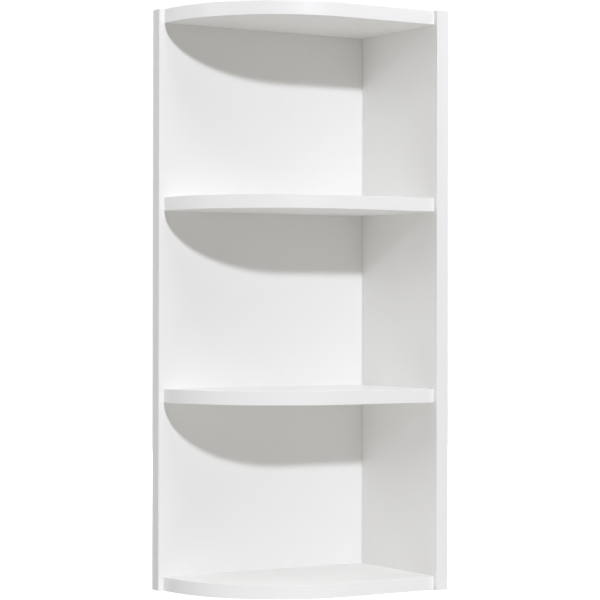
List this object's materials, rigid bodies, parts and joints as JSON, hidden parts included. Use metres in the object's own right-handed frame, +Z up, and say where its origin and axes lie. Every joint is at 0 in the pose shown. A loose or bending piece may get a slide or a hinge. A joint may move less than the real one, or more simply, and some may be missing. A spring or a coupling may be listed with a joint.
{
  "type": "corner shelf unit",
  "caption": "White board corner shelf unit: a wide back panel, a narrow side panel and shelf boards with a rounded front corner.",
  "frame": {"origin": "middle of the box's base: half the width from the side panel's outer face, half the depth from the back panel's outer face, at the level of the base", "axes": "+Z up. The wide back panel stands at +Y and the narrow side panel at +X. The open front faces -Y and the open end -X."},
  "size_m": [0.3, 0.177, 0.682],
  "materials": {
    "coated_board": "chipboard with a white satin melamine coating, raw at its hidden edges",
    "edge_band": "white satin plastic edge band",
    "beech": "raw fluted beech",
    "zinc_steel": "bright zinc plating",
    "cap_plastic": "white satin moulded plastic"
  },
  "bodies": {
    "root": {"back_panel": "coated_board", "side_panel": "coated_board", "bottom_board": "coated_board", "lower_shelf": "coated_board", "upper_shelf": "coated_board", "top_board": "coated_board", "back_panel_front_band": "edge_band", "back_panel_top_band": "edge_band", "back_panel_bottom_band": "edge_band", "side_panel_front_band": "edge_band", "side_panel_top_band": "edge_band", "side_panel_bottom_band": "edge_band", "bottom_board_front_band": "edge_band", "lower_shelf_front_band": "edge_band", "upper_shelf_front_band": "edge_band", "top_board_front_band": "edge_band", "bottom_board_back_inner_screw": "zinc_steel", "bottom_board_back_outer_screw": "zinc_steel", "bottom_board_side_screw": "zinc_steel", "lower_shelf_back_inner_screw": "zinc_steel", "lower_shelf_back_outer_screw": "zinc_steel", "lower_shelf_side_screw": "zinc_steel", "upper_shelf_back_inner_screw": "zinc_steel", "upper_shelf_back_outer_screw": "zinc_steel", "upper_shelf_side_screw": "zinc_steel", "top_board_back_inner_screw": "zinc_steel", "top_board_back_outer_screw": "zinc_steel", "top_board_side_screw": "zinc_steel", "corner_lower_screw": "zinc_steel", "corner_middle_screw": "zinc_steel", "corner_upper_screw": "zinc_steel", "bottom_board_back_dowel": "beech", "bottom_board_side_dowel": "beech", "lower_shelf_back_dowel": "beech", "lower_shelf_side_dowel": "beech", "upper_shelf_back_dowel": "beech", "upper_shelf_side_dowel": "beech", "top_board_back_dowel": "beech", "top_board_side_dowel": "beech", "corner_lower_dowel": "beech", "corner_upper_dowel": "beech", "bottom_board_side_cap": "cap_plastic", "lower_shelf_side_cap": "cap_plastic", "upper_shelf_side_cap": "cap_plastic", "top_board_side_cap": "cap_plastic", "corner_lower_cap": "cap_plastic", "corner_middle_cap": "cap_plastic", "corner_upper_cap": "cap_plastic", "left_hanger_plate": "zinc_steel", "left_hanger_lower_screw": "zinc_steel", "left_hanger_upper_screw": "zinc_steel", "right_hanger_plate": "zinc_steel", "right_hanger_lower_screw": "zinc_steel", "right_hanger_upper_screw": "zinc_steel"}
  },
  "joints": []
}
